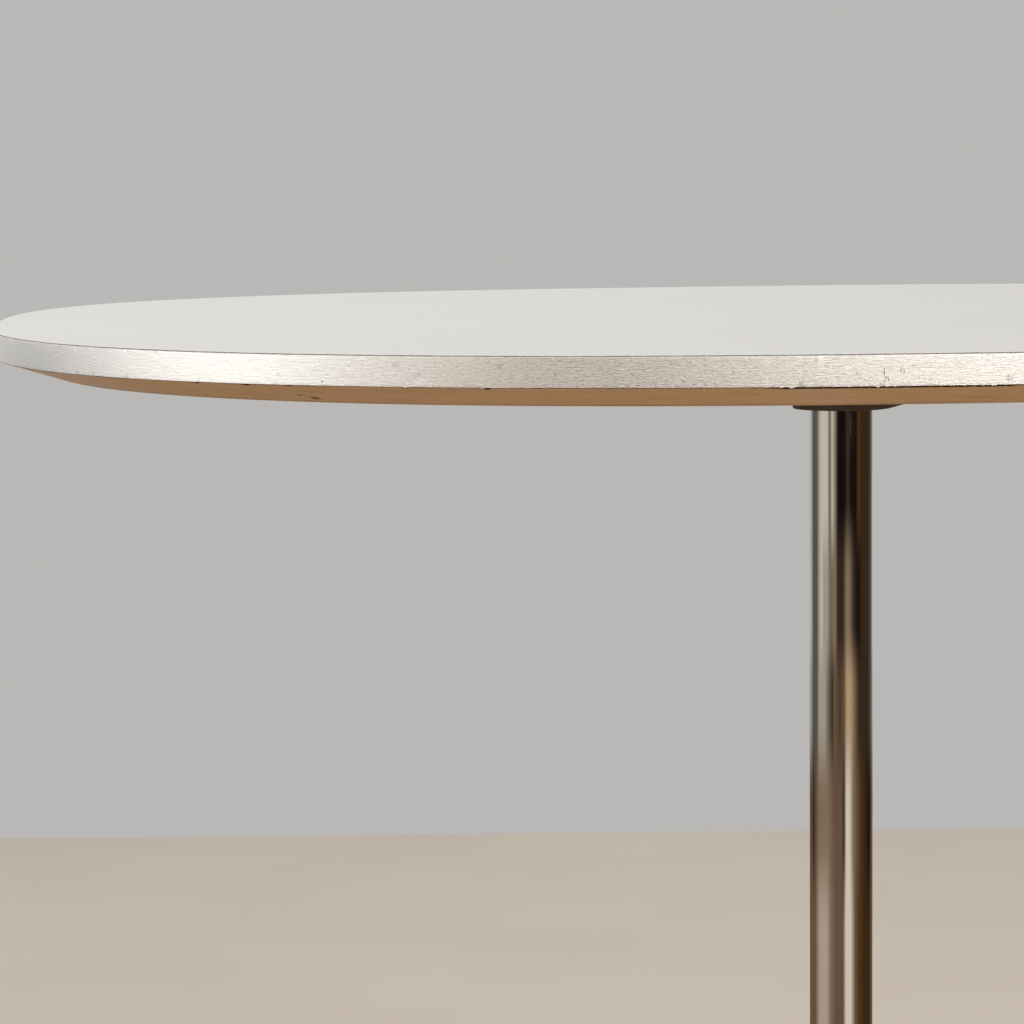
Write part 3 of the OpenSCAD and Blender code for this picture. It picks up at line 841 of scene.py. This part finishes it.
# ---- the column and its tie rod
def make_column():
    wall = 2 * MM
    r, low, high = TUBE_R, TUBE_LO.z, TUBE_HI.z
    outside = [(r - 0.4 * MM, low), (r - 0.1 * MM, low + 0.1 * MM), (r, low + 0.4 * MM)]
    outside += [(r, low + (high - low) * k / 24) for k in range(1, 24)]
    outside += [(r, high - 0.4 * MM), (r - 0.4 * MM, high)]
    tube = lathe("column", outside + [(r - wall, high), (r - wall, low)], [CHROME], 256, closed=True)
    place(tube, "column_chrome", "column_tube")

    rod_r = ROD_HI.x
    grip = 26 * MM
    low, high, plain_r = ROD_LO.z + grip, ROD_HI.z - grip, rod_r - 0.2 * MM
    plain = lathe("rod", [(0, low), (plain_r, low), (plain_r, high), (0, high)], [STEEL], 48)
    ends = [threaded("rod_end", rod_r, start, end, 1.5 * MM, 0.8 * MM)
            for start, end in ((ROD_LO.z, low), (high, ROD_HI.z))]
    rod = smooth(joined("threaded_tie_rod", [plain, *ends]), 50)
    place(rod, "fastener_steel", "tie_rod")


def hex_nut(name, across, height, bore, z, at=(0, 0), turn=0.0):
    """A nut with its six corners chamfered at both faces. across is the distance between opposite corners."""
    flat = across / 2 * cos(pi / 6)
    inside, steps = flat * 0.985, 72
    verts = []
    levels = ((0.0, inside, 0.0), (0.09, inf, 0.55), (0.91, inf, -0.55), (1.0, inside, 0.0))
    for level, reach, slope in levels:
        for i in range(steps):
            t = TAU * i / steps
            edge = flat / cos((t % (TAU / 6)) - TAU / 12)
            h = height * level + (edge - flat) * slope
            verts.append(on_circle(at, min(edge, reach), t + turn, z + h))
    mouth = bore + 0.6 * MM
    for r, h in ((mouth, height), (bore, height - 0.5 * MM), (bore, 0.5 * MM), (mouth, 0.0)):
        verts += [on_circle(at, r, TAU * i / steps + turn, z + h) for i in range(steps)]
    return smooth(new_object(name, verts, grid_faces(8, steps, True), [STEEL]), 25)


def make_rod_fittings():
    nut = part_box("tie_rod_nuts")
    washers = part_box("tie_rod_washers")
    across = nut[1].x - nut[0].x
    height = 8 * MM
    bore = ROD_HI.x + 0.03 * MM
    pair = [hex_nut("nut", across, height, bore, z) for z in (nut[0].z, nut[1].z - height)]
    place(joined("tie_rod_hex_nuts", pair), "fastener_steel", "tie_rod_nuts")
    thick, outer, inner = 1.2 * MM, washers[1].x, ROD_BORE
    discs = []
    for z in (washers[0].z, washers[1].z - thick):
        loop = rounded([(inner, z), (outer, z), (outer, z + thick), (inner, z + thick)], 0.3 * MM, 3)
        discs.append(lathe("washer", loop, [STEEL], 72, closed=True))
    place(smooth(joined("tie_rod_flat_washers", discs)), "fastener_steel", "tie_rod_washers")


make_column()
make_rod_fittings()


# ---- the base
HUB_BOTTOM = BASE_LO.z
PLATE_TOP = TUBE_LO.z
BASE_R = BASE_HI.x
BASE_WALL = 12 * MM
PLATE_Z = PLATE_TOP - 12 * MM
BOSS_R = 17 * MM
ARM_ROOT_TOP, ARM_TIP_TOP = 70 * MM, 48 * MM
ARM_ROOT_WIDTH, ARM_TIP_WIDTH = 36 * MM, 27 * MM
BOLT_HEIGHTS = (37 * MM, 57 * MM)


def arm_top(d):
    along = (d - BASE_R) / (FOOT_R - BASE_R)
    return ARM_TIP_TOP + (ARM_ROOT_TOP - ARM_TIP_TOP) * (1 - min(1.0, max(0.0, along))) ** 1.6


def tip_drop(margin):
    """How far the crown of an arm has come down, this far from its very end."""
    radius = 5 * MM
    return radius - sqrt(radius ** 2 - (radius - margin) ** 2) if margin < radius else 0.0


def arm_half_width(d):
    along = min(1.0, max(0.0, (d - BASE_R) / (FOOT_R - BASE_R)))
    half = (ARM_ROOT_WIDTH + (ARM_TIP_WIDTH - ARM_ROOT_WIDTH) * along) / 2
    boss = BOSS_R ** 2 - (d - FOOT_R) ** 2
    boss = sqrt(boss) if boss > 0 else 0.0
    return max(half, boss) if d < FOOT_R else boss


def make_base():
    outer = rounded([(0.0, HUB_BOTTOM), (BASE_R, HUB_BOTTOM), (BASE_R, PLATE_TOP - 5 * MM),
                     (BASE_R - 5 * MM, PLATE_TOP), (0.0, PLATE_TOP)], 2.5 * MM, 6)
    inner_r = BASE_R - BASE_WALL
    spigot = TUBE_R - 2.1 * MM
    profile = [(inner_r, HUB_BOTTOM + 1 * MM), (inner_r + 1 * MM, HUB_BOTTOM)] + outer[1:-1]
    profile += [(spigot, PLATE_TOP), (spigot, BASE_HI.z), (ROD_BORE, BASE_HI.z), (ROD_BORE, PLATE_Z)]
    profile += [(inner_r - 3 * MM, PLATE_Z), (inner_r, PLATE_Z - 3 * MM)]
    hub = lathe("base_boss", profile, [BASE_PAINT], 160, closed=True)
    place(hub, "base_painted", "base_hub")

    for name in FEET:
        angle = FOOT_ANGLES[name]
        neck = FOOT_R - 22 * MM
        stations = [BASE_R + (neck - BASE_R) * k / 30 for k in range(31)]
        stations += [neck + 22 * MM * k / 12 for k in range(1, 13)]
        stations += [FOOT_R + BOSS_R * sin(k * pi / 32) for k in range(1, 16)]
        stations += [FOOT_R + BOSS_R - SLIT]
        sections = []
        for n, d in enumerate(stations):
            half, top = arm_half_width(d), arm_top(d) - tip_drop(FOOT_R + BOSS_R - d)
            section = []
            for y, z in arm_section(half, top):
                bow = BASE_R - sqrt(max(0.0, BASE_R ** 2 - y * y))
                x = d - (bow - SLIT) * (1 - n / 6) if n < 6 else d
                section.append((x, y, z))
            sections.append(section)
        arm = loft("base_leg_" + name, sections, [BASE_PAINT], 40)
        low = HUB_BOTTOM - 1 * MM
        hole = [(0, low), (STUD_BORE, low), (STUD_BORE, 45 * MM), (0, 45 * MM)]
        turned(cut(arm, [lathe("cutter", hole, [BASE_PAINT], 48, (FOOT_R, 0, 0))]), angle)
        place(arm, "base_painted", "base_arm_" + name)


def arm_section(half, top):
    """The cross-section of a base arm: flat under, sides drawn in a little, and a crowned top."""
    low = HUB_BOTTOM
    height = top - low
    fillet = min(6 * MM, half * 0.55, height * 0.4)
    small = min(1.5 * MM, half * 0.3)
    shoulder = half * 0.93
    lower = rounded([(0.0, low), (half, low), (shoulder, top - 1.2 * MM)], small, 3)[:-1]
    side = (half * 0.985, low + height * 0.4)
    upper = rounded([side, (shoulder, top - 1.0 * MM), (0.0, top)], fillet, 8)[:-1]
    right = lower[1:] + upper
    left = [(-y, z) for y, z in reversed(right)]
    return [(0.0, low)] + right + [(0.0, top)] + left


def cap_screw(angle, z, length):
    """A socket-head screw along +X from inside the hub wall, with a hexagon recess and a knurled head."""
    head_r, head_h, shank = 6.4 * MM, 8 * MM, 4 * MM
    steps = 72
    key = 3.4 * MM
    x0 = BASE_R - BASE_WALL - 0.6 * MM - head_h
    rings = []
    for kind, r, h in (("key", 0.0, 4.0 * MM), ("key", 0.99, 4.0 * MM), ("key", 1.0, 3.9 * MM),
                       ("key", 1.0, 0.2 * MM), ("key", 1.06, 0.0), ("plain", head_r - 0.6 * MM, 0.0),
                       ("knurl", head_r, 0.7 * MM), ("knurl", head_r, head_h - 0.5 * MM),
                       ("plain", head_r - 0.3 * MM, head_h), ("plain", shank, head_h),
                       ("plain", shank, head_h + length - 1 * MM),
                       ("plain", shank - 0.8 * MM, head_h + length)):
        ring = []
        for i in range(steps):
            t = TAU * i / steps
            radius = r
            if kind == "key":
                hexagon = key * cos(pi / 6) / cos((t % (TAU / 6)) - TAU / 12)
                radius = max(0.02 * MM, r * hexagon)
            elif kind == "knurl":
                radius = r - (0.16 * MM if i % 2 else 0.0)
            ring.append((x0 + h, radius * cos(t), z + radius * sin(t)))
        rings.append(ring)
    ends = [(x0 + 4.0 * MM, 0.0, z), (x0 + head_h + length, 0.0, z)]
    return turned(loft("bolt", rings, [STEEL], 30, ends), angle)


def make_feet():
    bolts = [cap_screw(FOOT_ANGLES[name], z, 30 * MM) for name in FEET for z in BOLT_HEIGHTS]
    place(joined("base_cap_screws", bolts), "fastener_steel", "base_arm_bolts")

    nuts_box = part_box("foot_lock_nuts")
    nut_z, nut_h = nuts_box[0].z, nuts_box[1].z - nuts_box[0].z
    nuts = []
    for k, name in enumerate(FEET):
        angle = FOOT_ANGLES[name]
        at = (FOOT_R * cos(angle), FOOT_R * sin(angle))
        nuts.append(hex_nut("nut", 15.0 * MM, nut_h, STUD_BORE, nut_z, at, angle))
        stud_lo, stud_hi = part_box("foot_stud_" + name)
        make_stud(name, at, stud_lo.z, stud_hi.z, angle)
        make_pad(name, at)
    place(joined("foot_jam_nuts", nuts), "fastener_steel", "foot_lock_nuts")


def make_stud(name, at, low, high, turn):
    flange, flange_h = 11.5 * MM, 4 * MM
    ball_r = 4.5 * MM
    ball_z = low + ball_r
    neck = [(0.0, ball_z - ball_r)]
    bends = [pi * k / 16 for k in range(1, 12)]
    neck += [(ball_r * sin(t), ball_z - ball_r * cos(t)) for t in bends]
    neck += [(2.7 * MM, flange - 1 * MM), (3.4 * MM, flange), (0.0, flange)]
    parts = [lathe("ball", neck, [STEEL], 48, (*at, 0)),
             hex_nut("hexagon", 16.2 * MM, flange_h, 3.5 * MM, flange, at, turn),
             threaded("thread", 4 * MM, flange + flange_h - 1 * MM, high, 1.25 * MM, 0.62 * MM, at)]
    stud = joined("levelling_stud_" + name, parts)
    place(stud, "fastener_steel", "foot_stud_" + name, body="stud_" + name)


def make_pad(name, at):
    r = (PAD_HI.x - PAD_LO.x) / 2
    outer = [(r - 3 * MM, 0.0), (r, 0.0), (r, 4 * MM), (9 * MM, 8 * MM), (3.2 * MM, 8 * MM)]
    under = [(a * MM, b * MM) for a, b in ((0, 0.9), (5, 0.9), (5.6, 0.3), (8.4, 0.3), (9, 0.9))]
    under += [(r - 4.2 * MM, 0.9 * MM), (r - 3.6 * MM, 0.0)]
    socket_r, socket_z = 4.8 * MM, 6.5 * MM
    inside = [(3.1 * MM, 7.6 * MM)]
    for a in (0.9, 1.2, 1.6, 2.0, 2.4, 2.8):
        inside.append((socket_r * sin(a), socket_z + socket_r * cos(a)))
    inside += [(0.0, socket_z - socket_r)]
    profile = under + rounded(outer, 1.0 * MM, 5) + inside
    pad = lathe("foot_glide_" + name, profile, [PLASTIC], 96, (*at, 0))
    place(pad, "pad_black", "foot_pad_" + name, body="pad_" + name)


make_base()
make_feet()


# ---- camera
EYE_ABOVE_TOP = 0.0741
EYE = Vector((-0.3689, -1.9180, TOP_Z + EYE_ABOVE_TOP))
VIEW_TURN = math.atan2(EYE.x, -EYE.y)
HEADING = radians(-5.056)
PITCH = radians(5.685)
ROLL = radians(-0.585)
camera_data = bpy.data.cameras.new("camera")
camera_data.lens = 113.86
camera_data.sensor_width = 36.0
camera_data.dof.use_dof = False
camera = linked("camera", camera_data)
camera.matrix_world = (Matrix.Translation(EYE) @ Matrix.Rotation(HEADING, 4, "Z")
                       @ Matrix.Rotation(pi / 2 - PITCH, 4, "X") @ Matrix.Rotation(ROLL, 4, "Z"))
scene.camera = camera


# ---- floor, light and reflection cards
def floor_material():
    s = Shade("floor_pale", Specular_IOR_Level=0.3)
    s.base(s.noise(1.5, 3.0), srgb(206, 196, 184), srgb(213, 204, 193))
    s.rough(s.between(s.noise(4.0, 3.0), 0.3, 0.7, 0.6, 0.7))
    return s.material


table_parts = bpy.data.collections.new("table_parts")
for piece in [obj for obj in scene.objects if obj.type == "MESH"]:
    table_parts.objects.link(piece)

FLOOR_BACK = 2.02
floor_corners = [(-9, -16, 0), (9, -16, 0), (9, FLOOR_BACK - 0.8, 0), (-9, FLOOR_BACK + 0.8, 0)]
new_object("floor", floor_corners, [(0, 1, 2, 3)], [floor_material()])

GLOW = 4.0
WALL = srgb(186, 184, 182)
UPRIGHT = srgb(92, 90, 85)
WINDOW = srgb(207, 199, 185)
BLIND = srgb(172, 163, 147)
GLASS = srgb(118, 110, 98)
DADO = srgb(160, 158, 155)
BLACK = srgb(20, 17, 16)
SHADOW = srgb(58, 45, 35)
TIMBER = srgb(84, 56, 30)
EARTH = srgb(60, 43, 25)
OAK = srgb(110, 89, 70)
OAK_LIT = srgb(140, 119, 99)
UMBER = srgb(82, 65, 52)
HAZE = srgb(184, 165, 149)
CREAM = srgb(226, 213, 196)
AMBER = srgb(190, 160, 128)


def grey(v, warm=0.0):
    return (v * (1 + warm), v, v * (1 - warm))


def card_material(name, axis, first, *others):
    """Light for reflections, by direction round the table from the camera's side, and by height (axis Z) or
    distance (axis R). Each of the others is two limits and the colours that take over between them."""
    s = Shade(name)
    s.tree.nodes.remove(s.bsdf)
    x, y, z = s.xyz()
    compass = s.math("ARCTAN2", x, s.times(y, -1.0))
    turn = s.math("FRACT", s.math("ADD", s.math("DIVIDE", compass, TAU), 0.5 - VIEW_TURN / TAU))
    where = z if axis == "Z" else s.math("SQRT", s.math("ADD", s.times(x, x), s.times(y, y)))

    def ramp(runs):
        stops = [(degrees, colour) for colour, *edges in runs for degrees in edges]
        node = s.node("ValToRGB")
        s.plug(turn, node.inputs[0])
        while len(node.color_ramp.elements) < len(stops):
            node.color_ramp.elements.new(0.5)
        for element, (degrees, colour) in zip(node.color_ramp.elements, stops):
            element.position = (degrees + 180) / 360
            element.color = (*(v / GLOW for v in colour), 1)
        return node.outputs[0]

    colour = ramp(first)
    for low, high, runs in others:
        colour = s.blend(s.between(where, low, high), colour, ramp(runs))
    glow = s.node("Emission")
    s.plug(colour, glow.inputs["Color"])
    s.plug(GLOW, glow.inputs["Strength"])
    s.plug(glow.outputs[0], s.tree.nodes["Material Output"].inputs["Surface"])
    return s.material


def only_reflected(obj):
    for ray in ("camera", "diffuse", "shadow", "transmission", "volume_scatter"):
        setattr(obj, "visible_" + ray, False)


# The room as polished metal would show it: a colour, then the degrees from the camera's side where its run
# starts and ends. Colours blend from run to run.
OVERHEAD = [(grey(0.62), -180), (grey(0.84), -148), (grey(0.92), -126), (grey(0.90), -112),
            (grey(1.55), -90), (grey(2.5, 0.01), -62), (grey(1.7, 0.03), -44), (grey(0.88, 0.09), -28),
            (grey(0.68, 0.13), -14), (grey(0.88, 0.12), 0), (grey(1.95, 0.08), 12), (grey(2.85, 0.05), 24),
            (grey(2.7, 0.05), 44), (grey(0.8, 0.05), 62), (grey(0.36), 120, 150), (grey(0.60), 180)]
UPPER_ROOM = [(WALL, -180, -142), (UPRIGHT, -122, -98), (BLIND, -88), (WINDOW, -76, -51),
              (GLASS, -44, -41), (BLIND, -36), (WINDOW, -32), (BLIND, -27), (GLASS, -19), (SHADOW, -14),
              (BLACK, -9, 14), (SHADOW, 20, 27), (BLACK, 34, 55), (TIMBER, 65), (EARTH, 80, 118),
              (UPRIGHT, 140), (WALL, 158, 180)]
MIDDLE_ROOM = [(WALL, -180, -142), (UPRIGHT, -122, -98), (BLIND, -88), (WINDOW, -76), (BLIND, -66, -52),
               (GLASS, -40), (OAK_LIT, -22), (SHADOW, -12, 8), (OAK_LIT, 20, 28), (SHADOW, 46),
               (BLACK, 64), (EARTH, 84), (SHADOW, 116), (UPRIGHT, 140), (WALL, 158, 180)]
SKIRTING = [(DADO, -180, -142), (UPRIGHT, -124, -98), (BLIND, -88, -62), (GLASS, -48), (SHADOW, -33),
            (OAK, -24), (UMBER, -4), (OAK, 12), (AMBER, 21, 33), (OAK, 54), (SHADOW, 68), (EARTH, 100),
            (SHADOW, 116), (UPRIGHT, 140), (DADO, 158, 180)]
FAR_FLOOR = [(OAK, -180, -148), (SHADOW, -120), (OAK, -104), (OAK_LIT, -84, -50), (OAK, -24, 0),
             (SHADOW, 12), (CREAM, 19, 30), (OAK_LIT, 44), (OAK, 58), (TIMBER, 76), (EARTH, 96),
             (BLACK, 128), (OAK, 146, 180)]
NEAR_FLOOR = [(OAK, -180, -108), (HAZE, -84, -54), (OAK_LIT, -40), (OAK, -20, -4), (OAK, 8),
              (CREAM, 18, 35), (HAZE, 42), (OAK, 52), (TIMBER, 70), (EARTH, 96, 128), (OAK, 146, 180)]
DRUM_R, DRUM_H = 3.0, 3.2
drum_profile = [(DRUM_R, DRUM_H * k / 8) for k in range(9)]
drum = lathe("card_round_table", drum_profile,
             [card_material("card_glow", "Z", SKIRTING, (0.03, 0.13, MIDDLE_ROOM), (0.2, 0.32, UPPER_ROOM),
                            (0.5, 0.72, OVERHEAD))], 128)
only_reflected(drum)
DISC_Z = 1.5 * MM
disc = lathe("card_on_floor", [(r, DISC_Z) for r in (0.0, 0.2, 1.5, DRUM_R)],
             [card_material("card_floor", "R", NEAR_FLOOR, (1.5, 2.0, FAR_FLOOR), (2.2, 2.9, SKIRTING))], 128)
only_reflected(disc)


def softbox(name, place_at, target, size, power, colour=(1, 1, 1)):
    data = bpy.data.lights.new(name, "AREA")
    data.shape = "RECTANGLE"
    data.size, data.size_y = size
    data.energy = power
    data.color = colour
    lamp = linked(name, data)
    lamp.location = place_at
    lamp.rotation_mode = "QUATERNION"
    lamp.rotation_quaternion = (Vector(target) - Vector(place_at)).to_track_quat("-Z", "Y")
    lamp.visible_camera = False
    lamp.visible_glossy = False
    return lamp


softbox("soft_overhead", (0.3, 0.4, 3.4), (0, 0, 0.6), (4.0, 4.0), 60, (1.0, 0.99, 0.97))
softbox("soft_left", (-3.2, -2.2, 1.5), (0, 0, 0.5), (2.2, 2.2), 50, (1.0, 0.97, 0.92))
softbox("soft_front_right", (1.8, -3.4, 1.3), (0, 0, 0.4), (2.0, 2.0), 40, (1.0, 0.96, 0.90))
for k in range(4):
    side = radians(-105 + 90 * k)
    fill = softbox("low_fill_%d" % k, on_circle((0, 0), 3.2, side, 0.35), (0, 0, 0.66), (2.4, 0.6), 14,
                   (1.0, 0.95, 0.88))
    fill.light_linking.receiver_collection = table_parts

world = bpy.data.worlds.new("studio")
world.use_nodes = True
backdrop = world.node_tree.nodes["Background"]
backdrop.inputs[0].default_value = (*WALL, 1)
backdrop.inputs[1].default_value = 1.0
scene.world = world
scene.view_settings.view_transform = "Standard"
scene.view_settings.look = "None"
